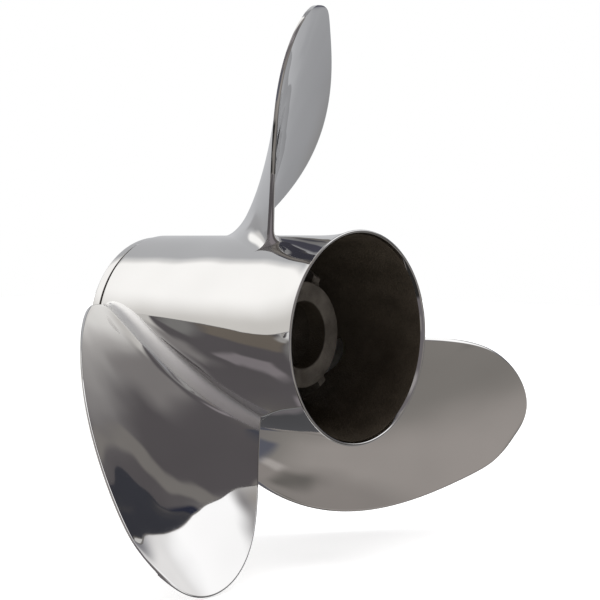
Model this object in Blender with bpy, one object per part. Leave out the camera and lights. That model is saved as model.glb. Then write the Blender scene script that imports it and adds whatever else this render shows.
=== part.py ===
"""Three-blade stainless propeller for an outboard motor, right-handed, with exhaust through the hub.

The real propeller is one investment casting. Here each region of it is a solid of its own: the
outer barrel with its front lip and flared mouth, the inner hub, the three ribs that join the two,
and the three blades with the fillets at their roots. Fine seams of SEAM part them.

Frame: metres. +X points aft along the shaft, +Y to starboard and +Z up. The origin is on the shaft
axis, in the plane of the inner hub's front face, where the drive hub enters. The first blade stands
straight up. Seen from astern the propeller turns clockwise.
"""

import math

import bmesh
import bpy
import numpy as np
from mathutils import Matrix

# Driving dimensions

SEAM = 0.0003

BLADE_COUNT = 3
TIP_RADIUS = 0.1813

HUB_LENGTH = 0.105
HUB_RADIUS = 0.030
HUB_BORE_RADIUS = 0.019
HUB_SOCKET_RADIUS = 0.025
HUB_END_WALL = 0.012
HUB_EDGE = 0.0006

BARREL_FRONT = -0.014
MOUTH = 0.146
WALL = 0.003

# The barrel's outside is a slight cone that flares over its last part into the mouth.
CONE_FRONT_RADIUS = 0.0546
CONE_AFT_RADIUS = 0.0557
CONE_FRONT = -0.009
FLARE_START = 0.106
MOUTH_RADIUS = 0.0594
MOUTH_WALL = 0.0020
RIM_ROUND = 0.0006

# A narrow groove parts the front lip from the barrel.
LIP_RADIUS = 0.0536
LIP_ROUND = 0.0020
LIP_RISE = 0.0002
LIP_BORE_RADIUS = 0.0504
LIP_BORE_LENGTH = 0.012
GROOVE_FRONT = -0.0069
GROOVE_WIDTH = 0.0022
GROOVE_RADIUS = 0.0524
GROOVE_BEVEL = (0.0006, 0.0002)

# Each rib lies in a plane through the axis, this far round from its blade. Its aft end is square
# for a few millimetres from the hub, and then slopes forward to the barrel.
RIB_TURN = 25.0
RIB_THICKNESS = 0.006
RIB_FRONT = 0.003
RIB_AFT_AT_HUB = 0.102
RIB_SQUARE_END = 0.006
RIB_AFT_AT_BARREL = 0.072

# The blade, at six stations that crowd towards the round tip. The share runs from 0 inside the
# barrel to 1 at the tip. The angles are about the shaft, in degrees towards starboard. The half
# angle is the half chord, divided by what is left of the share. The place is that of mid-chord.
STATION_ROOT_RADIUS = 0.050
STATIONS = (
    # share, mid-chord angle, half angle, mid-chord place
    (0.0, 11.8, 35.6, 0.0588),
    (0.2, 7.4, 40.9, 0.0742),
    (0.4, 1.7, 43.3, 0.0975),
    (0.6, -3.9, 39.9, 0.1186),
    (0.8, -6.2, 40.0, 0.1309),
    (1.0, -7.2, 64.4, 0.1346),
)
# Pitch at the root, at a third and two thirds of the way out, and at the tip.
PITCHES = (0.534, 0.487, 0.469, 0.537)
# How fast the slope changes along the chord, in metres: at the root, halfway out and at the tip.
CAMBERS = (-0.0567, 0.0288, 0.0127)

# Section thicknesses: trailing edge, middle and leading edge.
TRAILING_ROOT = 0.0050
TRAILING_TIP = 0.0022
TRAILING_FADE = 0.040
MIDDLE_ROOT = 0.0085
MIDDLE_TIP = 0.0015
MIDDLE_POWER = 0.95
LEADING = 0.0012
# Both edges are rounded on the pressure side: how far along the chord the rounding takes them back.
TRAILING_ROUND = 0.0010
LEADING_ROUND = 0.0030

# Fillets at the root: how far each reaches along the barrel, and up the blade. The one on the
# pressure side grows from the trailing edge to the leading edge by this share. The one on the
# suction side starts small at the trailing edge, and is full after this share of the chord.
PRESSURE_FILLET = (0.0045, 0.0100)
PRESSURE_GROWTH = 1.0
SUCTION_FILLET = (0.0085, 0.0150)
SUCTION_END_FILLET = (0.0070, 0.0060)
SUCTION_RUN = 0.33
NOSE_FILLET = (0.0030, 0.0060)
NOSE_START = 0.8
# Height over which the sections pass from the barrel's cone to plain cylinders.
ROOT_FADE = 0.012

# Fineness of the meshes
TURNED_STEPS = 96
HUB_STEPS = 64
CHORD_STEPS = 14
FILLET_STEPS = 7
SPAN_STEPS = 18
EDGE_STEPS = 4
FLARE_STEPS = 7
TIP_SHARE = 0.985
ROW_CROWDING = 1.6
CHORD_NUDGE = 0.001
SHARP_ANGLE = 35
MERGE = 1e-6

# Finishes
POLISHED_COLOUR, POLISHED_ROUGHNESS = (0.72, 0.71, 0.70), 0.06
CAST_COLOUR, CAST_ROUGHNESS = (0.10, 0.095, 0.09), 0.6


def material(name, colour, roughness, metallic=1.0):
    """A Principled BSDF of one finish."""
    made = bpy.data.materials.new(name)
    made.use_nodes = True
    shader = made.node_tree.nodes["Principled BSDF"]
    shader.inputs["Base Color"].default_value = (*colour, 1.0)
    shader.inputs["Roughness"].default_value = roughness
    shader.inputs["Metallic"].default_value = metallic
    return made


def add_object(name, mesh, finish):
    """Links the mesh as a named object, smooth where its faces bend gently."""
    mesh.materials.append(finish)
    mesh.shade_smooth()
    mesh.set_sharp_from_angle(angle=math.radians(SHARP_ANGLE))
    made = bpy.data.objects.new(name, mesh)
    bpy.context.scene.collection.objects.link(made)
    return made


def mesh_from(name, points, faces):
    """A closed mesh with its faces pointing out."""
    mesh = bpy.data.meshes.new(name)
    mesh.from_pydata([tuple(point) for point in points], [], faces)
    work = bmesh.new()
    work.from_mesh(mesh)
    bmesh.ops.remove_doubles(work, verts=work.verts, dist=MERGE)
    bmesh.ops.recalc_face_normals(work, faces=work.faces)
    work.to_mesh(mesh)
    work.free()
    return mesh


def turned(name, profile, steps):
    """Turns a closed outline of (along the shaft, radius) points about the shaft."""
    points = []
    for step in range(steps):
        angle = 2 * math.pi * step / steps
        points += [(x, r * math.sin(angle), r * math.cos(angle)) for x, r in profile]
    count = len(profile)
    faces = []
    for step in range(steps):
        after = (step + 1) % steps
        for i in range(count):
            j = (i + 1) % count
            faces.append((step * count + i, step * count + j, after * count + j, after * count + i))
    return mesh_from(name, points, faces)


def barrel_radius(x):
    """The barrel's outer radius, from the groove to the mouth."""
    cone = CONE_FRONT_RADIUS + (CONE_AFT_RADIUS - CONE_FRONT_RADIUS) * (x - CONE_FRONT) / (
        FLARE_START - CONE_FRONT
    )
    if x <= FLARE_START:
        return cone
    share = (x - FLARE_START) / (MOUTH - FLARE_START)
    return CONE_AFT_RADIUS + (MOUTH_RADIUS - CONE_AFT_RADIUS) * share**3


def barrel_profile():
    """Outline of the barrel's wall: the outside from front to mouth, then the inside back again."""
    flare = [FLARE_START + (MOUTH - FLARE_START) * i / FLARE_STEPS for i in range(FLARE_STEPS)]
    front = BARREL_FRONT
    groove_aft = GROOVE_FRONT + GROOVE_WIDTH
    bevel_length, bevel_depth = GROOVE_BEVEL
    off = LIP_ROUND * (1 - math.sqrt(1 / 2))
    outside = [
        (front, LIP_BORE_RADIUS),
        (front, LIP_RADIUS - LIP_ROUND),
        (front + off, LIP_RADIUS - off),
        (front + LIP_ROUND, LIP_RADIUS),
        (GROOVE_FRONT, LIP_RADIUS + LIP_RISE),
        (GROOVE_FRONT, GROOVE_RADIUS),
        (groove_aft, GROOVE_RADIUS),
        (groove_aft, barrel_radius(groove_aft) - bevel_depth),
        (groove_aft + bevel_length, barrel_radius(groove_aft + bevel_length)),
    ]
    outside += [(x, barrel_radius(x)) for x in flare]
    outside.append((MOUTH - RIM_ROUND, barrel_radius(MOUTH - RIM_ROUND)))
    outside.append((MOUTH, MOUTH_RADIUS - RIM_ROUND))
    inside = [(MOUTH, MOUTH_RADIUS - MOUTH_WALL)]
    for x in reversed(flare):
        share = (x - FLARE_START) / (MOUTH - FLARE_START)
        inside.append((x, barrel_radius(x) - WALL - (MOUTH_WALL - WALL) * share))
    bore_front = front + LIP_BORE_LENGTH
    inside.append((bore_front, barrel_radius(bore_front) - WALL))
    return outside + inside


def hub_profile():
    """Outline of the inner hub: a sleeve with a wall at its aft end, which the shaft's end passes."""
    wall = HUB_LENGTH - HUB_END_WALL
    return [
        (0, HUB_SOCKET_RADIUS + HUB_EDGE),
        (0, HUB_RADIUS - HUB_EDGE),
        (HUB_EDGE, HUB_RADIUS),
        (HUB_LENGTH - HUB_EDGE, HUB_RADIUS),
        (HUB_LENGTH, HUB_RADIUS - HUB_EDGE),
        (HUB_LENGTH, HUB_BORE_RADIUS + HUB_EDGE),
        (HUB_LENGTH - HUB_EDGE, HUB_BORE_RADIUS),
        (wall, HUB_BORE_RADIUS),
        (wall, HUB_SOCKET_RADIUS),
        (HUB_EDGE, HUB_SOCKET_RADIUS),
    ]


def rib_mesh(name):
    """A flat web in the plane of +Z, between the hub and the inside of the barrel."""
    half = RIB_THICKNESS / 2
    low = HUB_RADIUS + SEAM

    def high(x):
        reach = barrel_radius(x) - WALL - SEAM
        return math.sqrt(reach**2 - half**2)

    outline = [
        (RIB_FRONT, low),
        (RIB_AFT_AT_HUB, low),
        (RIB_AFT_AT_HUB, low + RIB_SQUARE_END),
        (RIB_AFT_AT_BARREL, high(RIB_AFT_AT_BARREL)),
        (RIB_FRONT, high(RIB_FRONT)),
    ]
    points = [(x, side, z) for side in (-half, half) for x, z in outline]
    count = len(outline)
    faces = [tuple(range(count)), tuple(range(2 * count - 1, count - 1, -1))]
    for i in range(count):
        j = (i + 1) % count
        faces.append((i, i + count, j + count, j))
    return mesh_from(name, points, faces)


def through(places, values):
    """The polynomial that passes through the values at their places."""
    return np.poly1d(np.polyfit(places, values, len(values) - 1))


SHARES, MID_ANGLES, HALF_ANGLES, MID_PLACES = zip(*STATIONS)
MID_ANGLE = through(SHARES, MID_ANGLES)
HALF_ANGLE = through(SHARES, HALF_ANGLES)
MID_PLACE = through(SHARES, MID_PLACES)
PITCH = through([0, 1 / 3, 2 / 3, 1], PITCHES)
CAMBER = through([0, 1 / 2, 1], CAMBERS)


def share_at(radius):
    """Share of the blade at a radius, the other way round from the crowding of the stations."""
    return 1 - math.sqrt(max(0.0, (TIP_RADIUS - radius) / (TIP_RADIUS - STATION_ROOT_RADIUS)))


def face_point(radius, chord):
    """Angle and place of the pressure face, at a chord share of 0 (trailing) to 1 (leading)."""
    share = share_at(radius)
    out = (radius - STATION_ROOT_RADIUS) / (TIP_RADIUS - STATION_ROOT_RADIUS)
    turn = (2 * chord - 1) * (1 - share) * math.radians(HALF_ANGLE(share))
    place = MID_PLACE(share) - PITCH(out) / (2 * math.pi) * turn + CAMBER(out) * turn**2 / 2
    return math.radians(MID_ANGLE(share)) + turn, place


def thickness(radius, chord):
    """Thickness of the section, blunt at the trailing edge and thin at the leading edge."""
    left = max(0.0, (TIP_RADIUS - radius) / (TIP_RADIUS - STATION_ROOT_RADIUS))
    trailing = TRAILING_TIP + (TRAILING_ROOT - TRAILING_TIP) * math.exp(
        (STATION_ROOT_RADIUS - radius) / TRAILING_FADE
    )
    middle = MIDDLE_TIP + (MIDDLE_ROOT - MIDDLE_TIP) * left**MIDDLE_POWER
    ends = LEADING * chord + trailing * (1 - chord)
    return ends + (middle - (LEADING + trailing) / 2) * 4 * chord * (1 - chord)


def fillet(height, size, grown=1.0):
    """How far a quarter ellipse stands out from the blade, at a height above the barrel."""
    reach, up = (grown * part for part in size)
    if height >= up:
        return 0.0
    return reach * (1 - math.sqrt(1 - (1 - height / up) ** 2))


def suction_size(chord):
    """Reach and height of the suction side's fillet at a chord share."""
    share = min(1.0, chord / SUCTION_RUN)
    swell = share**2 * (3 - 2 * share)
    return [end + (full - end) * swell for full, end in zip(SUCTION_FILLET, SUCTION_END_FILLET)]


def edge_points(pressure, suction, ahead, radius, rounding):
    """Points across an edge, from the pressure side to the suction side, on the same cylinder.

    They lie on a quarter ellipse, which takes the edge back by the rounding at the pressure side.
    """
    points = []
    for step in range(1, EDGE_STEPS):
        upper = (1 + math.cos(math.pi * step / EDGE_STEPS)) / 2
        push = (1 - math.sqrt(1 - upper**2) - upper) * rounding
        place = suction[0] + (pressure[0] - suction[0]) * upper + push * ahead[0]
        angle = suction[1] + (pressure[1] - suction[1]) * upper + push * ahead[1] / radius
        points.append((place, angle))
    return points


def section(height):
    """One closed loop of the blade at a height above the barrel.

    It runs up the pressure side to the leading edge, round it, back down the suction side and
    across the blunt trailing edge.
    """
    middle = (CONE_FRONT_RADIUS + CONE_AFT_RADIUS) / 2
    radius = middle + height
    nose_fillet = fillet(height, NOSE_FILLET)
    pressure, suction, aheads = [], [], []
    for step in range(CHORD_STEPS + 1):
        chord = step / CHORD_STEPS
        angle, place = face_point(radius, chord)
        after_angle, after_place = face_point(radius, chord + CHORD_NUDGE)
        along, round_it = after_place - place, radius * (after_angle - angle)
        length = math.hypot(along, round_it)
        # Unit vectors on the unrolled cylinder: towards the leading edge, and out of the face.
        ahead = (along / length, round_it / length)
        out = (ahead[1], -ahead[0])
        # The fillet rounds off towards the leading edge and is cut square at the trailing edge.
        nose = math.sqrt(1 - max(0.0, (chord - NOSE_START) / (1 - NOSE_START)) ** 2)
        pressure_off = fillet(height, PRESSURE_FILLET, 1 + PRESSURE_GROWTH * chord) * nose
        suction_off = -fillet(height, suction_size(chord)) * nose - thickness(radius, chord)
        back = TRAILING_ROUND * (1 - chord) - LEADING_ROUND * chord
        for off, moved, row in ((pressure_off, back, pressure), (suction_off, 0.0, suction)):
            spread = nose_fillet * chord + moved
            x = place + off * out[0] + spread * ahead[0]
            row.append((x, angle + (off * out[1] + spread * ahead[1]) / radius))
        aheads.append(ahead)
    leading = edge_points(pressure[-1], suction[-1], aheads[-1], radius, -LEADING_ROUND)
    trailing = edge_points(pressure[0], suction[0], aheads[0], radius, TRAILING_ROUND)
    loop = []
    for x, angle in pressure + leading + suction[::-1] + trailing[::-1]:
        r = radius + (barrel_radius(x) - middle) * math.exp(-height / ROOT_FADE)
        loop.append((x, r * math.sin(angle), r * math.cos(angle)))
    return loop


def blade_heights():
    """Heights of the sections, close together through the fillet and towards the tip."""
    middle = (CONE_FRONT_RADIUS + CONE_AFT_RADIUS) / 2
    top = PRESSURE_FILLET[1] * (1 + PRESSURE_GROWTH)
    low = [SEAM + (top - SEAM) * (i / FILLET_STEPS) ** ROW_CROWDING for i in range(FILLET_STEPS)]
    first = share_at(middle + top)
    shares = [first + (TIP_SHARE - first) * i / SPAN_STEPS for i in range(SPAN_STEPS + 1)]
    span = TIP_RADIUS - STATION_ROOT_RADIUS
    return low + [TIP_RADIUS - span * (1 - share) ** 2 - middle for share in shares]


def root_point(one, two, share):
    """A point between the two sides of the root, on the seam over the barrel."""
    x, y, z = (a + (b - a) * share for a, b in zip(one, two))
    grow = (barrel_radius(x) + SEAM) / math.hypot(y, z)
    return (x, y * grow, z * grow)


def blade_mesh(name):
    """The blade that stands straight up, as one closed solid."""
    loops = [section(height) for height in blade_heights()]
    around = len(loops[0])
    points = [point for loop in loops for point in loop]
    faces = []
    for low in range(0, (len(loops) - 1) * around, around):
        for i in range(around):
            j = (i + 1) % around
            faces.append((low + i, low + j, low + around + j, low + around + i))

    # The underside of the root follows the barrel, so it is a grid between the two sides.
    last = CHORD_STEPS
    suction_start = last + EDGE_STEPS
    grid = [list(range(last + 1))]
    for step in range(1, EDGE_STEPS):
        row = [around - step]
        for i in range(1, last):
            row.append(len(points))
            points.append(root_point(loops[0][i], loops[0][suction_start + last - i], step / EDGE_STEPS))
        grid.append(row + [last + step])
    grid.append([suction_start + last - i for i in range(last + 1)])
    for one, two in zip(grid, grid[1:]):
        for i in range(last):
            faces.append((one[i + 1], one[i], two[i], two[i + 1]))

    # The tip is a strip between the two sides, and takes in the points of both edges at its ends.
    top = (len(loops) - 1) * around
    for i in range(last):
        strip = [i, i + 1]
        if i == last - 1:
            strip += range(last + 1, suction_start)
        strip += [suction_start + last - i - 1, suction_start + last - i]
        if i == 0:
            strip += range(suction_start + last + 1, around)
        faces.append(tuple(top + k for k in strip))
    return mesh_from(name, points, faces)


def turned_about_shaft(made, degrees):
    """Turns an object about the shaft, from up towards starboard."""
    made.matrix_world = Matrix.Rotation(math.radians(-degrees), 4, "X")


def main():
    for old in list(bpy.data.objects):
        bpy.data.objects.remove(old)

    finish = material("polished_barrel", POLISHED_COLOUR, POLISHED_ROUGHNESS)
    add_object("barrel", turned("barrel", barrel_profile(), TURNED_STEPS), finish)
    finish = material("cast_hub", CAST_COLOUR, CAST_ROUGHNESS)
    add_object("inner_hub", turned("inner_hub", hub_profile(), HUB_STEPS), finish)

    for number in range(BLADE_COUNT):
        round_by = number * 360 / BLADE_COUNT
        blade_name = f"blade_{number + 1}"
        finish = material(f"polished_{blade_name}", POLISHED_COLOUR, POLISHED_ROUGHNESS)
        turned_about_shaft(add_object(blade_name, blade_mesh(blade_name), finish), round_by)
        rib_name = f"rib_{number + 1}"
        finish = material(f"cast_{rib_name}", CAST_COLOUR, CAST_ROUGHNESS)
        turned_about_shaft(add_object(rib_name, rib_mesh(rib_name), finish), round_by + RIB_TURN)


main()
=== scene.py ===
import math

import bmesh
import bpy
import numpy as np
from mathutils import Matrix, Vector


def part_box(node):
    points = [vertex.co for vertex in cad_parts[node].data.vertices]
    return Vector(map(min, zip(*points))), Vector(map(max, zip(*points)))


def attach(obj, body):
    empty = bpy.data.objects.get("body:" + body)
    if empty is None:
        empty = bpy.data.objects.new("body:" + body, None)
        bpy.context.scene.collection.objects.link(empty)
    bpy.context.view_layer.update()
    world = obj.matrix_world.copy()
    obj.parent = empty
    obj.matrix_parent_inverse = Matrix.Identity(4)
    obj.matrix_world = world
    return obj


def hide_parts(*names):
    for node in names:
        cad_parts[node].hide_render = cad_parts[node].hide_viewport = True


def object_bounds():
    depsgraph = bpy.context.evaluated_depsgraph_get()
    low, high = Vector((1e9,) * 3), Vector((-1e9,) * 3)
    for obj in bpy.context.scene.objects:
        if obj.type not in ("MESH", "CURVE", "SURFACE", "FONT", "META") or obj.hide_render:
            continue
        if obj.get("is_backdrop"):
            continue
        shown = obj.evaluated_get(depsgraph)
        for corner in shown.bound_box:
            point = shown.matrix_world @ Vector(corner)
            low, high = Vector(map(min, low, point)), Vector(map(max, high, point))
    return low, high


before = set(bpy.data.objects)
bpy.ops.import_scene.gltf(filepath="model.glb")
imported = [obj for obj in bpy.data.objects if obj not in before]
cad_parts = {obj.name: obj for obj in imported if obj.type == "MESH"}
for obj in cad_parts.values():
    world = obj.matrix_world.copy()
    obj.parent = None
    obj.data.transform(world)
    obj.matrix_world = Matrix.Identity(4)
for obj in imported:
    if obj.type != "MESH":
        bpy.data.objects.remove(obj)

# %% [markdown]
# # A cast and polished boat propeller
# The real thing is one piece of stainless steel: a barrel with three blades on it, and inside the
# barrel a smaller hub on three ribs. It is poured in one mould, ground, and polished by hand to a
# mirror. Only the inside stays as it came from the mould, matt and dark.
#
# A mirror shows every flaw of the mesh under it. So this lesson gives the propeller new skins that
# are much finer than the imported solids, made by the same rules, and then builds a small studio
# around it, because a mirror has no looks of its own: it shows what stands round it.

cad_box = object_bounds()
BODY = "root"
barrel_low, barrel_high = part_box("barrel")
hub_low, hub_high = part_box("inner_hub")
BARREL_FRONT, MOUTH = barrel_low.x, barrel_high.x
MOUTH_RADIUS = barrel_high.z
HUB_FRONT, HUB_AFT, HUB_RADIUS = hub_low.x, hub_high.x, hub_high.z
print("barrel from", round(BARREL_FRONT, 4), "to", round(MOUTH, 4))
print("its mouth has the radius", round(MOUTH_RADIUS, 4))
print("inner hub from", round(HUB_FRONT, 4), "to", round(HUB_AFT, 4))
print("its radius is", round(HUB_RADIUS, 4))

# %% [markdown]
# ## The rule behind a blade
# A propeller blade is a piece of a screw. Cut it with a tube round the shaft and unroll the tube:
# the cut is a slightly bent line, whose slope is the pitch. Six such cuts, called stations here,
# say how wide the blade is and where it sits. A smooth polynomial passes through the stations, so
# there is no kink anywhere that the polish would give away. Sizes are in metres, and angles in
# degrees.

# %% The sizes of a blade
BLADES = 3
TIP_RADIUS = 0.181
ROOT_RADIUS = 0.050
STATIONS = (
    # share out, mid-chord angle, half angle, mid-chord place
    (0.0, 11.8, 35.6, 0.0588),
    (0.2, 7.4, 40.9, 0.0742),
    (0.4, 1.7, 43.3, 0.0975),
    (0.6, -3.9, 39.9, 0.1186),
    (0.8, -6.2, 40.0, 0.1309),
    (1.0, -7.2, 64.4, 0.1346),
)
PITCHES = (0.534, 0.487, 0.469, 0.537)
CAMBERS = (-0.0567, 0.0288, 0.0127)

TRAILING_ROOT, TRAILING_TIP, TRAILING_FADE = 0.0050, 0.0022, 0.040
TRAILING_ROUND, LEADING_ROUND = 0.0010, 0.0030
MIDDLE_ROOT, MIDDLE_TIP, MIDDLE_POWER = 0.0085, 0.0015, 0.95
LEADING = 0.0012
PRESSURE_FILLET = (0.0045, 0.0100)
PRESSURE_GROWTH = 1.0
SUCTION_FILLET = (0.0085, 0.0150)
SUCTION_END_FILLET, SUCTION_RUN = (0.0070, 0.0060), 0.33
NOSE_FILLET = (0.0030, 0.0060)
NOSE_START = 0.8
ROOT_FADE = 0.012

CONE_FRONT, CONE_FRONT_RADIUS = -0.009, 0.0546
FLARE_START, CONE_AFT_RADIUS = 0.106, 0.0557
MIDDLE_RADIUS = (CONE_FRONT_RADIUS + CONE_AFT_RADIUS) / 2


def through(places, values):
    """Coefficients of the polynomial through the points, highest power first."""
    return np.polyfit(places, values, len(values) - 1)


shares = [station[0] for station in STATIONS]
MID_ANGLE = through(shares, [math.radians(station[1]) for station in STATIONS])
HALF_ANGLE = through(shares, [math.radians(station[2]) for station in STATIONS])
MID_PLACE = through(shares, [station[3] for station in STATIONS])
SLOPE = through([0, 1 / 3, 2 / 3, 1], [pitch / (2 * math.pi) for pitch in PITCHES])
CAMBER = through([0, 1 / 2, 1], CAMBERS)
print("stations", len(STATIONS), "tip radius", TIP_RADIUS)

# %% [markdown]
# ## Arithmetic with node sockets
# In Geometry Nodes a formula becomes a tree of Math nodes. Writing such a tree by hand is slow and
# hard to read. This small class wraps a socket and gives it ordinary arithmetic, so that the
# formula of the blade reads as it would on paper, and each sign still adds one Math node.

# %% A socket with arithmetic


class Field:
    """A number that differs from point to point, held by a socket of a node tree."""

    def __init__(self, tree, socket):
        self.tree, self.socket = tree, socket

    def math(self, operation, *others):
        node = self.tree.nodes.new("ShaderNodeMath")
        node.operation = operation
        for place, value in enumerate((self, *others)):
            if isinstance(value, Field):
                self.tree.links.new(value.socket, node.inputs[place])
            else:
                node.inputs[place].default_value = value
        return Field(self.tree, node.outputs[0])

    def __add__(self, other):
        return self.math("ADD", other)

    def __sub__(self, other):
        return self.math("SUBTRACT", other)

    def __mul__(self, other):
        return self.math("MULTIPLY", other)

    def __truediv__(self, other):
        return self.math("DIVIDE", other)

    __radd__, __rmul__ = __add__, __mul__

    def __rsub__(self, other):
        return self * -1 + other

    def squared(self):
        return self * self

    def root(self):
        return self.math("MAXIMUM", 0.0).math("SQRT")

    def polynomial(self, coefficients):
        """Horner's rule: one multiplication and one addition for each coefficient."""
        result = self * float(coefficients[0]) + float(coefficients[1])
        for coefficient in coefficients[2:]:
            result = result * self + float(coefficient)
        return result


print("a field can add, multiply and take roots")

# %% [markdown]
# ## A tree with named inputs
# A tree takes a mesh, a material and its sizes by name, so that a size can be changed in the
# modifier too. It ends in Realize Instances and Set Material, because only real faces with a
# material leave Blender in an export.

# %% Start and end a tree


def new_tree(name, sizes):
    """A Geometry Nodes tree with a geometry input and output, and a named input for each size."""
    tree = bpy.data.node_groups.new(name, "GeometryNodeTree")
    tree.interface.new_socket("Geometry", in_out="INPUT", socket_type="NodeSocketGeometry")
    tree.interface.new_socket("Geometry", in_out="OUTPUT", socket_type="NodeSocketGeometry")
    tree.interface.new_socket("Material", in_out="INPUT", socket_type="NodeSocketMaterial")
    for size, value in sizes.items():
        socket = tree.interface.new_socket(size, in_out="INPUT", socket_type="NodeSocketFloat")
        socket.default_value = value
    start = tree.nodes.new("NodeGroupInput")
    end = tree.nodes.new("NodeGroupOutput")
    return tree, start, end


def finish_tree(tree, start, end, geometry):
    """Ends the tree in real faces with its material."""
    realize = tree.nodes.new("GeometryNodeRealizeInstances")
    paint = tree.nodes.new("GeometryNodeSetMaterial")
    tree.links.new(geometry, realize.inputs["Geometry"])
    tree.links.new(realize.outputs["Geometry"], paint.inputs["Geometry"])
    tree.links.new(start.outputs["Material"], paint.inputs["Material"])
    tree.links.new(paint.outputs["Geometry"], end.inputs["Geometry"])


print("a tree starts with named sizes and ends with a material")

# %% [markdown]
# ## The tree that bends a slab into a blade
# The input is a plain slab in a space of its own. Its X is the share of the chord from trailing to
# leading edge, its Y is the height above the barrel in metres, and its Z runs from -1 on the
# suction side to 1 on the pressure side. The tree reads those three as numbers, works out where
# that point of the blade is, and moves the point there.

# %% Build the blade tree


def quarter_ellipse(height, reach, up):
    """A fillet's reach at a height above the barrel, from all of it down to nothing."""
    level = (height / up).math("MINIMUM", 1.0)
    return (1.0 - (1.0 - (1.0 - level).squared()).root()) * reach


def eased(field):
    """A smooth step from 0 to 1."""
    share = field.math("MAXIMUM", 0.0).math("MINIMUM", 1.0)
    return share.squared() * (3.0 - share * 2.0)


def blade_tree():
    sizes = {
        "Tip radius": TIP_RADIUS,
        "Root radius": ROOT_RADIUS,
        "Trailing edge": TRAILING_TIP,
        "Leading edge": LEADING,
        "Middle at root": MIDDLE_ROOT,
        "Turn": 0.0,
    }
    tree, start, end = new_tree("Blade of a propeller", sizes)
    size = {name: Field(tree, start.outputs[name]) for name in sizes}

    position = tree.nodes.new("GeometryNodeInputPosition")
    split = tree.nodes.new("ShaderNodeSeparateXYZ")
    tree.links.new(position.outputs[0], split.inputs[0])
    chord, height, side = (Field(tree, split.outputs[i]) for i in range(3))

    radius = height + MIDDLE_RADIUS
    span = size["Tip radius"] - size["Root radius"]
    out = (radius - size["Root radius"]) / span
    left = (1.0 - out).math("MAXIMUM", 0.0)
    share = 1.0 - left.root()

    # Where the pressure face is, unrolled: an angle about the shaft and a place along it.
    turn = (chord * 2.0 - 1.0) * (1.0 - share) * share.polynomial(HALF_ANGLE)
    camber = out.polynomial(CAMBER)
    slope = out.polynomial(SLOPE)
    place = share.polynomial(MID_PLACE) - slope * turn + camber * turn.squared() * 0.5
    angle = share.polynomial(MID_ANGLE) + turn

    # Unit vectors on the unrolled tube: towards the leading edge, and out of the pressure face.
    rise = camber * turn - slope
    length = (rise.squared() + radius.squared()).root()
    ahead_x, ahead_round = rise / length, radius / length

    # Thickness of the section, blunt at the trailing edge and thin at the leading edge.
    fade = ((size["Root radius"] - radius) / TRAILING_FADE).math("EXPONENT")
    trailing = size["Trailing edge"] + fade * (TRAILING_ROOT - TRAILING_TIP)
    middle = (size["Middle at root"] - MIDDLE_TIP) * left.math("POWER", MIDDLE_POWER) + MIDDLE_TIP
    ends = size["Leading edge"] * chord + trailing * (1.0 - chord)
    bow = chord * (1.0 - chord) * 4.0
    thickness = ends + (middle - (size["Leading edge"] + trailing) * 0.5) * bow

    # Fillets at the root. They round off at the nose and are cut square at the trailing edge.
    nose = ((chord - NOSE_START) / (1 - NOSE_START)).math("MAXIMUM", 0.0)
    round_off = (1.0 - nose.squared()).root()
    grown = chord * PRESSURE_GROWTH + 1.0
    pressure = quarter_ellipse(height, *(grown * part for part in PRESSURE_FILLET)) * round_off
    swell = eased(chord / SUCTION_RUN)
    grades = zip(SUCTION_END_FILLET, SUCTION_FILLET)
    sizes_there = (swell * (full - small) + small for small, full in grades)
    suction = quarter_ellipse(height, *sizes_there) * round_off + thickness
    upper = (side + 1.0) * 0.5
    off = upper * pressure - (1.0 - upper) * suction
    curl = 1.0 - (1.0 - upper.squared()).root()
    rounded = curl * (TRAILING_ROUND - chord * (TRAILING_ROUND + LEADING_ROUND))
    spread = quarter_ellipse(height, *NOSE_FILLET) * chord + rounded

    x = place + off * ahead_round + spread * ahead_x
    around = angle + (spread * ahead_round - off * ahead_x) / radius + size["Turn"]
    cone = (x - CONE_FRONT) * ((CONE_AFT_RADIUS - CONE_FRONT_RADIUS) / (FLARE_START - CONE_FRONT))
    rest = (height * (-1 / ROOT_FADE)).math("EXPONENT")
    r = radius + (cone + (CONE_FRONT_RADIUS - MIDDLE_RADIUS)) * rest

    join = tree.nodes.new("ShaderNodeCombineXYZ")
    for place_in, field in enumerate((x, r * around.math("SINE"), r * around.math("COSINE"))):
        tree.links.new(field.socket, join.inputs[place_in])
    move = tree.nodes.new("GeometryNodeSetPosition")
    tree.links.new(start.outputs["Geometry"], move.inputs["Geometry"])
    tree.links.new(join.outputs[0], move.inputs["Position"])
    finish_tree(tree, start, end, move.outputs["Geometry"])
    return tree


BLADE_TREE = blade_tree()
print("the blade tree has", len(BLADE_TREE.nodes), "nodes")

# %% [markdown]
# ## The slab
# The slab is a closed box cut into a fine grid. Its rows lie close together in the fillet, where
# the surface turns fastest, and crowd again towards the round tip. The first row starts a hair
# under the barrel's surface, so that no gap shows.

# %% Make the slab
CHORD_STEPS = 72
FILLET_STEPS = 28
SPAN_STEPS = 96
EDGE_STEPS = 10
TIP_SHARE = 0.9985
SINK = 0.00003


def slab_heights():
    """Heights of the rows above the barrel, from just under its surface to the tip."""
    top = PRESSURE_FILLET[1] * (1 + PRESSURE_GROWTH)
    turns = [math.pi / 2 * i / FILLET_STEPS for i in range(FILLET_STEPS)]
    low = [top * (1 - math.cos(turn)) - SINK for turn in turns]
    span = TIP_RADIUS - ROOT_RADIUS
    first = 1 - math.sqrt((TIP_RADIUS - MIDDLE_RADIUS - top) / span)
    steps = [first + (TIP_SHARE - first) * i / SPAN_STEPS for i in range(SPAN_STEPS + 1)]
    return low + [TIP_RADIUS - span * (1 - share) ** 2 - MIDDLE_RADIUS for share in steps]


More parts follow.
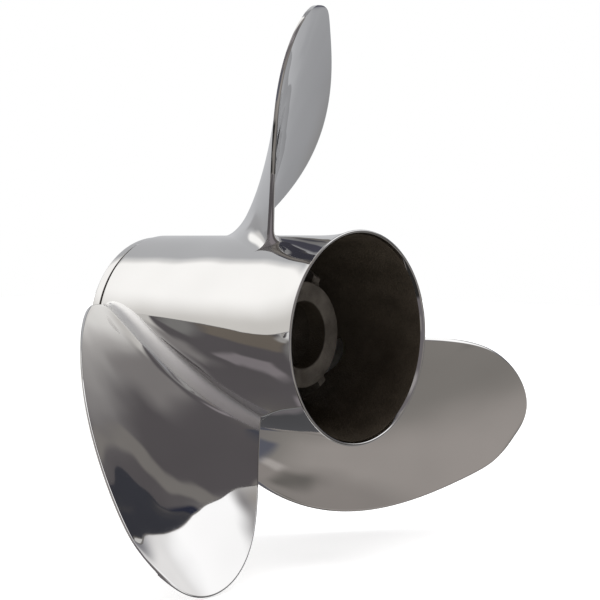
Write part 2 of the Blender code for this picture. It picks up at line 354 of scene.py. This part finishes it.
def slab_outline():
    """One row as (chord, side): up the pressure side, round the nose, back, across the end."""
    chords = [0.5 - 0.5 * math.cos(math.pi * i / CHORD_STEPS) for i in range(CHORD_STEPS + 1)]
    turn = [math.cos(math.pi * i / EDGE_STEPS) for i in range(1, EDGE_STEPS)]
    outline = [(chord, 1.0) for chord in chords]
    outline += [(1.0, side) for side in turn]
    outline += [(chord, -1.0) for chord in reversed(chords)]
    outline += [(0.0, -side) for side in turn]
    return outline


def slab_mesh():
    heights, outline = slab_heights(), slab_outline()
    points = [(chord, height, side) for height in heights for chord, side in outline]
    around = len(outline)
    faces = []
    for low in range(0, (len(heights) - 1) * around, around):
        for i in range(around):
            j = (i + 1) % around
            faces.append((low + i, low + j, low + around + j, low + around + i))
    last = CHORD_STEPS
    back = last + EDGE_STEPS
    top = (len(heights) - 1) * around
    for i in range(last):
        strip = [i, i + 1]
        if i == last - 1:
            strip += range(last + 1, back)
        strip += [back + last - i - 1, back + last - i]
        if i == 0:
            strip += range(back + last + 1, around)
        faces.append(tuple(top + k for k in strip))
    faces.append(tuple(range(around - 1, -1, -1)))
    mesh = bpy.data.meshes.new("slab")
    mesh.from_pydata(points, [], faces)
    return mesh


SLAB = slab_mesh()
print("the slab has", len(SLAB.polygons), "faces")

# %% [markdown]
# ## Four finishes
# The propeller has four: mirror steel, satin steel whose lighter colour is painted light, cast
# steel and darker cast steel. Each is a Principled shader, and noise makes it look real: it varies
# the colour and the roughness and bends the surface. The noise lies on Object coordinates, so it
# stays with the steel. A few helpers lay it on, so that each finish reads as a short list of what
# varies and how much.

# %% Helpers for the materials
NOISE_LOW, NOISE_HIGH = 0.3, 0.7


def new_material(name):
    material = bpy.data.materials.new(name)
    material.use_nodes = True
    return material, material.node_tree, material.node_tree.nodes["Principled BSDF"]


def noise(tree, scale, detail=2.0):
    """Noise on Object coordinates."""
    coordinates = tree.nodes.new("ShaderNodeTexCoord")
    texture = tree.nodes.new("ShaderNodeTexNoise")
    texture.inputs["Scale"].default_value = scale
    texture.inputs["Detail"].default_value = detail
    tree.links.new(coordinates.outputs["Object"], texture.inputs["Vector"])
    return texture.outputs["Fac"]


def ranged(tree, source, low, high):
    """The source's middle range, mapped from low to high."""
    node = tree.nodes.new("ShaderNodeMapRange")
    node.inputs["From Min"].default_value = NOISE_LOW
    node.inputs["From Max"].default_value = NOISE_HIGH
    node.inputs["To Min"].default_value = low
    node.inputs["To Max"].default_value = high
    tree.links.new(source, node.inputs["Value"])
    return node.outputs["Result"]


def mixed(tree, source, one, two):
    """A colour between two, by the source's middle range."""
    ramp = tree.nodes.new("ShaderNodeValToRGB")
    stops = (NOISE_LOW, one), (NOISE_HIGH, two)
    for element, (place, colour) in zip(ramp.color_ramp.elements, stops):
        element.position = place
        element.color = (*colour, 1)
    tree.links.new(source, ramp.inputs["Fac"])
    return ramp.outputs["Color"]


def bumped(tree, shader, source, height):
    """Bump by the source, with its height in metres."""
    bump = tree.nodes.new("ShaderNodeBump")
    bump.inputs["Strength"].default_value = 1.0
    bump.inputs["Distance"].default_value = height
    tree.links.new(source, bump.inputs["Height"])
    tree.links.new(bump.outputs["Normal"], shader.inputs["Normal"])


print("the noise is used from", NOISE_LOW, "to", NOISE_HIGH)

# %% [markdown]
# ## Mirror steel, with satin and painted light in the corners
# The mirror is never perfect. Hand polishing leaves the surface a little wavy, which bends every
# reflection, and fine hazy patches where the wheel passed less often. On the blades' aft side the
# wheel can't reach into the fillets at the roots, so they keep the satin of a smaller tool. Their
# colour is also painted lighter than the mirror steel's, which is painted light. A mask finds them
# by how far they are from the shaft and where their normal points, and one material blends both
# finishes, so there is no seam.

# %% Make the mirror steel
POLISHED_COLOURS = (0.58, 0.575, 0.57), (0.64, 0.635, 0.63)
POLISHED_ROUGHNESS = 0.02, 0.05
PATCH_SCALE, HAZE_SCALE, HAZE_DETAIL = 14, 30, 4
WAVE_SCALE, WAVE_DETAIL, WAVE_HEIGHT = 30, 0.6, 0.0008

# Satin lies near the shaft, where the normal points aft by this much, give or take the spread.
# The fillets' colour is lighter than the polished steel's. This is painted light.
SATIN_ROUGHNESS, FILLET_PAINTED_LIGHT_COLOUR = 0.45, (0.80, 0.795, 0.79)
SATIN_RADIUS, SATIN_EDGE = 0.0632, 0.0024
SATIN_FACING, SATIN_SPREAD, SATIN_SOFT = 0.36, 0.36, 0.06


def edge(distance, half, soft):
    """1 inside a distance, 0 outside it, and a smooth change across the soft edge."""
    node = distance.tree.nodes.new("ShaderNodeMapRange")
    node.interpolation_type = "SMOOTHSTEP"
    node.inputs["From Min"].default_value = half - soft / 2
    node.inputs["From Max"].default_value = half + soft / 2
    node.inputs["To Min"].default_value = 1
    node.inputs["To Max"].default_value = 0
    distance.tree.links.new(distance.socket, node.inputs["Value"])
    return Field(distance.tree, node.outputs["Result"])


def parts_of(tree, vector):
    """The three numbers of a vector socket."""
    split = tree.nodes.new("ShaderNodeSeparateXYZ")
    tree.links.new(vector, split.inputs[0])
    return [Field(tree, output) for output in split.outputs]


def mirror_steel(name, satin):
    """Mirror steel. Where satin is true, the fillets on the blades' aft side are satin instead,
    and their colour is painted lighter, which is painted light.
    """
    material, tree, shader = new_material(name)
    shader.inputs["Metallic"].default_value = 1.0
    colour = mixed(tree, noise(tree, PATCH_SCALE), *POLISHED_COLOURS)
    haze = noise(tree, HAZE_SCALE, HAZE_DETAIL)
    roughness = Field(tree, ranged(tree, haze, *POLISHED_ROUGHNESS))
    if satin:
        coordinates = tree.nodes.new("ShaderNodeTexCoord")
        across, up = parts_of(tree, coordinates.outputs["Object"])[1:]
        aft = parts_of(tree, coordinates.outputs["Normal"])[0]
        fillet = edge((across.squared() + up.squared()).root(), SATIN_RADIUS, SATIN_EDGE)
        fillet *= edge((aft - SATIN_FACING).math("ABSOLUTE"), SATIN_SPREAD, SATIN_SOFT)
        roughness += fillet * SATIN_ROUGHNESS
        # Painted light: the fillets' colour is mixed towards a lighter one.
        mix = tree.nodes.new("ShaderNodeMix")
        mix.data_type = "RGBA"
        mix.inputs["B"].default_value = (*FILLET_PAINTED_LIGHT_COLOUR, 1)
        tree.links.new(fillet.socket, mix.inputs["Factor"])
        tree.links.new(colour, mix.inputs["A"])
        colour = mix.outputs["Result"]
    tree.links.new(colour, shader.inputs["Base Color"])
    tree.links.new(roughness.socket, shader.inputs["Roughness"])
    bumped(tree, shader, noise(tree, WAVE_SCALE, WAVE_DETAIL), WAVE_HEIGHT)
    return material


STEEL = mirror_steel("polished_steel", satin=False)
BLADE_STEEL = mirror_steel("polished_steel_with_satin_and_painted_light", satin=True)
print("finishes:", STEEL.name, BLADE_STEEL.name)

# %% [markdown]
# ## Cast steel, darker in the bores
# The inside is plain cast steel, blasted, with a grain that the eye can feel. In the bores the
# same rough surface is darker and browner, so one function makes both.

# %% Make the cast steel and its darker kind
CAST_COLOURS = (0.085, 0.075, 0.063), (0.21, 0.19, 0.165)
DARKER_CAST_COLOURS = (0.058, 0.046, 0.032), (0.092, 0.074, 0.053)
CAST_METALLIC, CAST_ROUGHNESS = 0.6, (0.5, 0.75)
STAIN_SCALE, STAIN_DETAIL = 70, 6
MATT_SCALE, MATT_DETAIL = 120, 4
GRAIN_SCALE, GRAIN_DETAIL, GRAIN_HEIGHT = 900, 3, 0.0003


def cast_steel(name, colours):
    """Steel as it left the mould, stained between two colours."""
    material, tree, shader = new_material(name)
    shader.inputs["Metallic"].default_value = CAST_METALLIC
    colour = mixed(tree, noise(tree, STAIN_SCALE, STAIN_DETAIL), *colours)
    tree.links.new(colour, shader.inputs["Base Color"])
    roughness = ranged(tree, noise(tree, MATT_SCALE, MATT_DETAIL), *CAST_ROUGHNESS)
    tree.links.new(roughness, shader.inputs["Roughness"])
    bumped(tree, shader, noise(tree, GRAIN_SCALE, GRAIN_DETAIL), GRAIN_HEIGHT)
    return material


CAST = cast_steel("cast_steel", CAST_COLOURS)
# The bores take the same cast steel in darker and browner colours.
DARKER_CAST = cast_steel("darker_cast_steel", DARKER_CAST_COLOURS)
print("finishes:", CAST.name, DARKER_CAST.name)

# %% [markdown]
# ## Bend the slab three times
# One tree makes all three blades. Only its Turn input differs, by a third of a circle. The result
# is baked into a plain mesh, and the modifier goes, because a finished piece is only a mesh.

# %% Make the blades


def baked(name, mesh, tree, inputs):
    """Runs the tree on a mesh and returns the result as a plain object at the origin."""
    source = bpy.data.objects.new(name + "_source", mesh)
    bpy.context.scene.collection.objects.link(source)
    modifier = source.modifiers.new("tree", "NODES")
    modifier.node_group = tree
    for item in tree.interface.items_tree:
        if item.in_out == "INPUT" and item.name in inputs:
            modifier[item.identifier] = inputs[item.name]
    graph = bpy.context.evaluated_depsgraph_get()
    result = bpy.data.meshes.new_from_object(source.evaluated_get(graph), depsgraph=graph)
    bpy.data.objects.remove(source)
    result.name = name
    made = bpy.data.objects.new(name, result)
    bpy.context.scene.collection.objects.link(made)
    return made


def facing_out(piece, merge=1e-7):
    """Merges doubled points and turns every face outwards."""
    work = bmesh.new()
    work.from_mesh(piece.data)
    bmesh.ops.remove_doubles(work, verts=work.verts, dist=merge)
    bmesh.ops.recalc_face_normals(work, faces=work.faces)
    work.to_mesh(piece.data)
    work.free()


def smoothed(piece, sharp=35):
    piece.data.shade_smooth()
    piece.data.set_sharp_from_angle(angle=math.radians(sharp))


def placed(piece, slot, *nodes):
    """Says what a finished piece rides on and which imported parts it stands for. The slot is not
    used.
    """
    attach(piece, BODY)
    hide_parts(*nodes)
    return piece


for number in range(BLADES):
    name = f"blade_{number + 1}"
    inputs = {"Turn": 2 * math.pi * number / BLADES, "Material": BLADE_STEEL}
    blade = baked(name + "_skin", SLAB, BLADE_TREE, inputs)
    facing_out(blade)
    smoothed(blade)
    placed(blade, "polished_steel", name)
    print(blade.name, "has", len(blade.data.polygons), "faces")

# %% [markdown]
# ## Turned shapes
# The barrel and the inner hub are turned, so each needs only an outline and a full turn. A Screw
# modifier could do it too, but a loop can give each stretch of the outline its own finish.

# %% Helpers for turned shapes
TURN_STEPS = 288


def arc(centre, radius, start, stop, steps):
    """Points of an arc in the plane of (along the shaft, out), with its angles in degrees."""
    angles = [math.radians(start + (stop - start) * i / steps) for i in range(steps + 1)]
    return [(centre[0] + radius * math.cos(a), centre[1] + radius * math.sin(a)) for a in angles]


def turned(name, outlines, materials):
    """Turns outlines of (x, r) about the shaft. Each has its material, and they close a ring."""
    profile, paint = [], []
    for number, outline in enumerate(outlines):
        profile += outline
        paint += [number] * len(outline)
    count = len(profile)
    angles = [2 * math.pi * step / TURN_STEPS for step in range(TURN_STEPS)]
    points = [(x, r * math.sin(a), r * math.cos(a)) for a in angles for x, r in profile]
    faces, numbers = [], []
    for step in range(TURN_STEPS):
        here, there = step * count, (step + 1) % TURN_STEPS * count
        for i in range(count):
            j = (i + 1) % count
            faces.append((here + i, here + j, there + j, there + i))
            numbers.append(paint[i])
    mesh = bpy.data.meshes.new(name)
    mesh.from_pydata(points, [], faces)
    for material in materials:
        mesh.materials.append(material)
    mesh.polygons.foreach_set("material_index", numbers)
    made = bpy.data.objects.new(name, mesh)
    bpy.context.scene.collection.objects.link(made)
    return made


def steps_between(start, stop, count):
    return [start + (stop - start) * i / count for i in range(count + 1)]


print("a full turn has", TURN_STEPS, "steps")

# %% [markdown]
# ## The barrel
# Its outline runs along the outside from the front lip to the mouth and returns inside. It is
# polished outside, as cast in the narrow groove, and darker cast steel inside. Behind the groove
# it is a cone.
# Near the mouth it flares with the cube of the distance, so the flare starts softly.

# %% Turn the barrel
WALL, MOUTH_WALL, RIM_ROUND = 0.003, 0.0020, 0.0009
LIP_RADIUS, LIP_ROUND, LIP_BORE_RADIUS = 0.0536, 0.0022, 0.0504
GROOVE_FRONT, GROOVE_WIDTH, GROOVE_RADIUS = -0.0069, 0.0022, 0.0524
GROOVE_EDGE, LIP_SWELL = 0.0003, 0.0002
BORE_LEDGE, BORE_EDGE, RING_GAP, BORE_GAP = 0.010, 0.0006, 0.002, 0.004
RIM_TURN = 80
ROUND_STEPS, EDGE_ROUND_STEPS = 10, 4
OUTSIDE_STEPS, FLARE_STEPS, BORE_STEPS = 90, 24, 30


def barrel_radius(x):
    cone = CONE_FRONT_RADIUS + (CONE_AFT_RADIUS - CONE_FRONT_RADIUS) * (x - CONE_FRONT) / (
        FLARE_START - CONE_FRONT
    )
    if x <= FLARE_START:
        return cone
    share = (x - FLARE_START) / (MOUTH - FLARE_START)
    return CONE_AFT_RADIUS + (MOUTH_RADIUS - CONE_AFT_RADIUS) * share**3


lip_centre = (BARREL_FRONT + LIP_ROUND, LIP_RADIUS - LIP_ROUND)
groove_aft = GROOVE_FRONT + GROOVE_WIDTH
before_groove = (GROOVE_FRONT - GROOVE_EDGE, LIP_RADIUS + LIP_SWELL - GROOVE_EDGE)
behind_groove = (groove_aft + GROOVE_EDGE, barrel_radius(groove_aft) - GROOVE_EDGE)
lip = arc(lip_centre, LIP_ROUND, 180, 90, ROUND_STEPS)
lip += arc(before_groove, GROOVE_EDGE, 90, 0, EDGE_ROUND_STEPS)
groove = [(GROOVE_FRONT, GROOVE_RADIUS), (groove_aft, GROOVE_RADIUS)]
outside = arc(behind_groove, GROOVE_EDGE, 180, 90, EDGE_ROUND_STEPS)
for x in steps_between(groove_aft + RING_GAP, MOUTH - RIM_ROUND, OUTSIDE_STEPS):
    outside.append((x, barrel_radius(x)))
rim_centre = (MOUTH - RIM_ROUND, MOUTH_RADIUS - RIM_ROUND)
outside += arc(rim_centre, RIM_ROUND, RIM_TURN, -RIM_TURN, ROUND_STEPS)
bore = []
for x in reversed(steps_between(FLARE_START, MOUTH - RING_GAP, FLARE_STEPS)):
    share = (x - FLARE_START) / (MOUTH - FLARE_START)
    bore.append((x, barrel_radius(x) - WALL - (MOUTH_WALL - WALL) * share))
for x in reversed(steps_between(0.0, FLARE_START - BORE_GAP, BORE_STEPS)):
    bore.append((x, barrel_radius(x) - WALL))
bore += [(BARREL_FRONT + reach, LIP_BORE_RADIUS) for reach in (BORE_LEDGE, BORE_EDGE)]

# A face takes the finish of the outline that it starts in, so the groove starts at the lip's end.
barrel_outlines = [lip[:-1], lip[-1:] + groove, outside, bore]
barrel = turned("barrel_skin", barrel_outlines, [STEEL, CAST, STEEL, DARKER_CAST])
facing_out(barrel)
smoothed(barrel)
placed(barrel, "polished_steel", "barrel")
print(barrel.name, "has", len(barrel.data.polygons), "faces")

# %% [markdown]
# ## The inner hub
# A sleeve inside the barrel. Its aft end has a wall with a round bore, which shows as a ring deep
# in the mouth. The socket in front of the wall takes the drive hub. It is turned like the barrel.

# %% Turn the inner hub
HUB_BORE_RADIUS, HUB_SOCKET_RADIUS, HUB_END_WALL, HUB_EDGE = 0.019, 0.025, 0.012, 0.0008
HUB_GAP, SOCKET_GAP = 0.005, 0.002
HUB_EDGE_STEPS, HUB_STEPS, SOCKET_STEPS = 5, 20, 12
wall = HUB_AFT - HUB_END_WALL
front, aft = HUB_FRONT + HUB_EDGE, HUB_AFT - HUB_EDGE
outer, inner = HUB_RADIUS - HUB_EDGE, HUB_BORE_RADIUS + HUB_EDGE
hub_outline = arc((front, outer), HUB_EDGE, 180, 90, HUB_EDGE_STEPS)
for x in steps_between(HUB_FRONT + HUB_GAP, HUB_AFT - HUB_GAP, HUB_STEPS):
    hub_outline.append((x, HUB_RADIUS))
hub_outline += arc((aft, outer), HUB_EDGE, 90, 0, HUB_EDGE_STEPS)
hub_outline += arc((aft, inner), HUB_EDGE, 0, -90, HUB_EDGE_STEPS)
hub_bore = [(wall, HUB_BORE_RADIUS), (wall, HUB_SOCKET_RADIUS)]
for x in reversed(steps_between(HUB_FRONT + SOCKET_GAP, wall - HUB_GAP, SOCKET_STEPS)):
    hub_bore.append((x, HUB_SOCKET_RADIUS))
hub_bore.append((HUB_FRONT, HUB_SOCKET_RADIUS + HUB_EDGE))
hub = turned("inner_hub_casting", [hub_outline[:-1], hub_outline[-1:] + hub_bore], [CAST, DARKER_CAST])
facing_out(hub)
smoothed(hub)
placed(hub, "cast_steel", "inner_hub")
print(hub.name, "has", len(hub.data.polygons), "faces")

# %% [markdown]
# ## The ribs
# Three webs tie the hub to the barrel. In the casting they grow out of both with small fillets.
# Each is a stack of loops from the hub to the barrel. The loops swell near both ends, which makes
# the fillets without a Boolean or a Bevel.

# %% Make the ribs
RIBS, RIB_TURN, RIB_THICKNESS, RIB_FRONT = 3, 25.0, 0.006, 0.003
RIB_MIDDLE, RIB_INTO_BARREL, RIB_INTO_HUB = 0.05, 0.0005, 0.0003
RIB_AFT_AT_HUB, RIB_SQUARE_END, RIB_AFT_AT_BARREL = 0.102, 0.006, 0.072
RIB_FILLET, RIB_ROWS, RIB_COLUMNS = 0.003, 24, 20


def rib_mesh(name, turn):
    """A closed web: rows from hub to barrel, each row a loop round the web."""
    points, faces = [], []
    reach = barrel_radius(RIB_MIDDLE) - WALL + RIB_INTO_BARREL - HUB_RADIUS
    for row in range(RIB_ROWS + 1):
        share = row / RIB_ROWS
        radius = HUB_RADIUS - RIB_INTO_HUB + reach * share
        near = min(reach * share, reach * (1 - share))
        grow = RIB_FILLET * (1 - math.sqrt(1 - (1 - min(1.0, near / RIB_FILLET)) ** 2))
        half = RIB_THICKNESS / 2 + grow
        slope = max(0.0, reach * share - RIB_SQUARE_END) / (reach - RIB_SQUARE_END)
        aft = RIB_AFT_AT_HUB + (RIB_AFT_AT_BARREL - RIB_AFT_AT_HUB) * slope + grow
        xs = steps_between(RIB_FRONT - grow, aft, RIB_COLUMNS)
        loop = [(x, half) for x in xs] + [(x, -half) for x in reversed(xs)]
        for x, side in loop:
            angle = turn + side / radius
            points.append((x, radius * math.sin(angle), radius * math.cos(angle)))
    count = 2 * (RIB_COLUMNS + 1)
    for row in range(RIB_ROWS):
        for i in range(count):
            j = (i + 1) % count
            low, high = row * count, (row + 1) * count
            faces.append((low + i, low + j, high + j, high + i))
    faces.append(tuple(range(count)))
    faces.append(tuple(RIB_ROWS * count + i for i in reversed(range(count))))
    mesh = bpy.data.meshes.new(name)
    mesh.from_pydata(points, [], faces)
    mesh.materials.append(CAST)
    return mesh


for number in range(RIBS):
    name = f"rib_{number + 1}"
    mesh = rib_mesh(name + "_casting", math.radians(360 / RIBS * number + RIB_TURN))
    rib = bpy.data.objects.new(name + "_casting", mesh)
    bpy.context.scene.collection.objects.link(rib)
    facing_out(rib)
    smoothed(rib)
    placed(rib, "cast_steel", name)
    print(rib.name, "has", len(rib.data.polygons), "faces")

# %% [markdown]
# ## What stands round the propeller
# A mirror has no looks of its own. It shows what stands round it, so most of the steel's looks are
# made here. Photographers put polished things in a tent of white cloth with lamps behind some of
# its sides, and this list says what such a tent shows. Each line is a panel, laid over the ones
# before it like paint. Its place is given as the photographer would say it: degrees round the
# propeller from the camera, to the right, and degrees up.

# %% List the panels
AZIMUTH, ELEVATION = math.radians(38.73), math.radians(4.0)
DARK_ROOM = (0.178, 0.165, 0.175)
PANELS = (
    # name, degrees right, degrees up, half width, half height, soft edge, colour of its light
    ("grey cloth behind", 165, 40, 62, 55, 8, (0.53, 0.535, 0.55)),
    ("roof behind", 150, 80, 62, 24, 12, (0.34, 0.34, 0.355)),
    ("shade low behind", 150, -45, 60, 49, 16, (0.37, 0.375, 0.39)),
    ("dark floor behind", -172, -40, 28, 22, 8, (0.08, 0.08, 0.085)),
    ("cloth at the right", 65, -25, 65, 50, 30, (0.25, 0.235, 0.22)),
    ("its bright middle", 36, -18, 16, 16, 22, (0.39, 0.36, 0.34)),
    ("strip at eye level", 22, 4, 20, 10, 10, (0.30, 0.275, 0.26)),
    ("small bright card", 16, -3, 5, 3, 4, (0.46, 0.43, 0.41)),
    ("small dark card", 25, 4, 3, 7, 6, (0.16, 0.15, 0.14)),
    ("pale cloth at the left", -66, 20, 24, 42, 34, (0.74, 0.72, 0.71)),
    ("lamp at the left", -97.5, 60, 36.5, 50, 16, (1.22, 1.21, 1.19)),
    ("its lower side", -98, 2, 38, 18, 24, (0.73, 0.71, 0.68)),
    ("shade beside it", -147, 3, 9, 12, 6, (0.37, 0.37, 0.38)),
    ("its far corner", -136, 26, 9, 7, 7, (1.20, 1.19, 1.17)),
    ("glow at the top", -65, 90, 30, 32, 22, (1.02, 1.0, 0.97)),
    ("soft cloth in front", -32, 48, 15, 12, 14, (0.40, 0.38, 0.38)),
    ("gap in the roof", 35, 72, 32, 8, 12, (0.36, 0.355, 0.35)),
    ("pale oval", 4, 40, 9, 5, 5, (0.42, 0.385, 0.41)),
    ("tan wall", 52, 50, 17, 11, 8, (0.28, 0.245, 0.21)),
    ("glow beside the right lamp", 74, 57, 11, 6, 6, (0.62, 0.61, 0.60)),
    ("lamp behind at the right", 101, 45, 23, 17, 12, (1.31, 1.31, 1.32)),
    ("its lower corner", 127, 30, 7, 6, 8, (0.98, 0.97, 0.97)),
    ("dark shelf", 105, 5, 16, 12, 8, (0.13, 0.13, 0.135)),
    ("dark side", 95, -34, 16, 16, 6, (0.045, 0.044, 0.043)),
    ("camera", 1.5, -9, 10.5, 14, 5, (0.12, 0.125, 0.155)),
    ("dark gap behind", 139, 13, 18, 12, 6, (0.10, 0.10, 0.13)),
    ("its lower part", 124, -8, 5, 12, 5, (0.11, 0.11, 0.13)),
    ("pale card", -30, -12, 6, 7, 5, (0.37, 0.35, 0.335)),
    ("navy case", -43, -34, 7, 8, 4, (0.045, 0.05, 0.085)),
    ("white table", -120, -75, 66, 16, 5, (1.11, 1.10, 1.09)),
    ("dark under the camera", 0, -67, 34, 28, 6, (0.03, 0.029, 0.028)),
    ("its right side", 40, -80, 22, 22, 5, (0.03, 0.029, 0.028)),
)
print("there are", len(PANELS), "panels")

# %% [markdown]
# ## The light tent
# The tent is a large dome whose faces look inwards. The camera sees through it, and it casts no
# shadow. Its one material glows: a mask says where each panel is, and a Mix node lays it on. Many
# separate lamps could do this too, but a dome has no gaps, so every direction that the steel
# mirrors has its own light.

# %% Make the tent
TENT_RADIUS, TENT_SEGMENTS, TENT_RINGS = 2.5, 96, 48
TENT_BRIGHTNESS = 1.2


def tent_material():
    """A glow whose colour is the room's, with each panel laid over it in turn."""
    material, tree, shader = new_material("tent")
    tree.nodes.remove(shader)
    coordinates = tree.nodes.new("ShaderNodeTexCoord")
    x, y, z = (part / TENT_RADIUS for part in parts_of(tree, coordinates.outputs["Object"]))
    ahead = x * math.sin(AZIMUTH) - y * math.cos(AZIMUTH)
    aside = x * math.cos(AZIMUTH) + y * math.sin(AZIMUTH)
    right = aside.math("ARCTAN2", ahead) * math.degrees(1)
    up = z.math("ARCSINE") * math.degrees(1)
    colour = None
    for name, where_right, where_up, half_width, half_height, soft, light in PANELS:
        beside = (right - where_right).math("WRAP", 180.0, -180.0).math("ABSOLUTE")
        above = (up - where_up).math("ABSOLUTE")
        cover = edge(beside, half_width, soft) * edge(above, half_height, soft)
        mix = tree.nodes.new("ShaderNodeMix")
        mix.data_type = "RGBA"
        mix.label = name
        mix.inputs["A"].default_value = (*DARK_ROOM, 1)
        mix.inputs["B"].default_value = (*light, 1)
        if colour is not None:
            tree.links.new(colour, mix.inputs["A"])
        tree.links.new(cover.socket, mix.inputs["Factor"])
        colour = mix.outputs["Result"]
    glow = tree.nodes.new("ShaderNodeEmission")
    glow.inputs["Strength"].default_value = TENT_BRIGHTNESS
    tree.links.new(colour, glow.inputs["Color"])
    tree.links.new(glow.outputs[0], tree.nodes["Material Output"].inputs["Surface"])
    return material


work = bmesh.new()
bmesh.ops.create_uvsphere(
    work, u_segments=TENT_SEGMENTS, v_segments=TENT_RINGS, radius=TENT_RADIUS
)
bmesh.ops.reverse_faces(work, faces=work.faces)
tent_mesh = bpy.data.meshes.new("tent")
work.to_mesh(tent_mesh)
work.free()
tent_mesh.shade_smooth()
tent_mesh.materials.append(tent_material())
tent = bpy.data.objects.new("tent", tent_mesh)
bpy.context.scene.collection.objects.link(tent)
tent.visible_camera = False
tent.visible_shadow = False
tent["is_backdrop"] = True
print("the tent has a radius of", TENT_RADIUS)

# %% [markdown]
# ## The floor
# A plain pale floor at the lowest blade tip. The camera sees it, and the steel's shadow falls on
# it, but the steel mirrors the tent below instead, as it would hanging on a rod. A lamp above
# lights the floor and the matt castings, and no mirror shows it.

# %% Lay the floor and light it
FLOOR = cad_box[0].z
FLOOR_HALF, FLOOR_GREY, FLOOR_ROUGHNESS, FLOOR_GLOW = 2.4, 0.8, 0.6, 0.6
LIGHT_SIZE, LIGHT_HEIGHT, LIGHT_ENERGY = 2.2, 2.2, 30
floor_mesh = bpy.data.meshes.new("floor")
sides = [(-1, -1), (1, -1), (1, 1), (-1, 1)]
corners = [(FLOOR_HALF * x, FLOOR_HALF * y, FLOOR) for x, y in sides]
floor_mesh.from_pydata(corners, [], [(0, 1, 2, 3)])
floor = bpy.data.objects.new("floor", floor_mesh)
bpy.context.scene.collection.objects.link(floor)
paint, tree, shader = new_material("pale_floor")
shader.inputs["Base Color"].default_value = (FLOOR_GREY, FLOOR_GREY, FLOOR_GREY, 1)
shader.inputs["Roughness"].default_value = FLOOR_ROUGHNESS
shader.inputs["Emission Color"].default_value = (1, 1, 1, 1)
shader.inputs["Emission Strength"].default_value = FLOOR_GLOW
floor_mesh.materials.append(paint)
floor.visible_glossy = False
floor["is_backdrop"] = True

world = bpy.data.worlds.new("studio")
bpy.context.scene.world = world
world.use_nodes = True
world.node_tree.nodes["Background"].inputs["Color"].default_value = (1, 1, 1, 1)
bpy.context.scene.view_settings.view_transform = "Standard"

top_light = bpy.data.lights.new("top_light", "AREA")
top_light.size = LIGHT_SIZE
top_light.energy = LIGHT_ENERGY
top = bpy.data.objects.new("top_light", top_light)
bpy.context.scene.collection.objects.link(top)
top.location = (0, 0, LIGHT_HEIGHT)
top.visible_camera = False
top.visible_glossy = False
print("the floor lies", round(-FLOOR, 4), "below the shaft")

# %% [markdown]
# ## The camera
# It stands astern and to port, a little above the shaft. Its place and its lens were found from
# the round rims and the outlines of the blades together, so the focal length is given in pixels
# of the picture.

# %% Place the camera
DISTANCE, FOCAL_PIXELS, IMAGE_PIXELS, SENSOR = 0.9865, 1805.0, 600, 36.0
AIM_RIGHT, AIM_UP = -0.03337, 0.02075

towards = Vector(
    (
        math.sin(AZIMUTH) * math.cos(ELEVATION),
        -math.cos(AZIMUTH) * math.cos(ELEVATION),
        math.sin(ELEVATION),
    )
)
right = Vector((math.cos(AZIMUTH), math.sin(AZIMUTH), 0))
mouth_centre = Vector((MOUTH, 0, 0))
aim = mouth_centre + right * AIM_RIGHT + towards.cross(right) * AIM_UP
camera_data = bpy.data.cameras.new("camera")
camera_data.sensor_width = SENSOR
camera_data.lens = SENSOR * FOCAL_PIXELS / IMAGE_PIXELS
camera = bpy.data.objects.new("camera", camera_data)
bpy.context.scene.collection.objects.link(camera)
camera.location = mouth_centre + towards * DISTANCE
camera.rotation_mode = "QUATERNION"
camera.rotation_quaternion = (aim - camera.location).to_track_quat("-Z", "Y")
bpy.context.scene.camera = camera
print("camera at", [round(v, 3) for v in camera.location])

# %% [markdown]
# ## Measure the size again
# The box round everything is measured again and printed beside the first one. The skins may not
# stand out of the imported solids.

# %% Measure the sizes again and finish
visual_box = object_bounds()
for side, (packed, dressed) in enumerate(zip(cad_box, visual_box)):
    print(("low", "high")[side], "corner: packed", list(packed), "dressed", list(dressed))
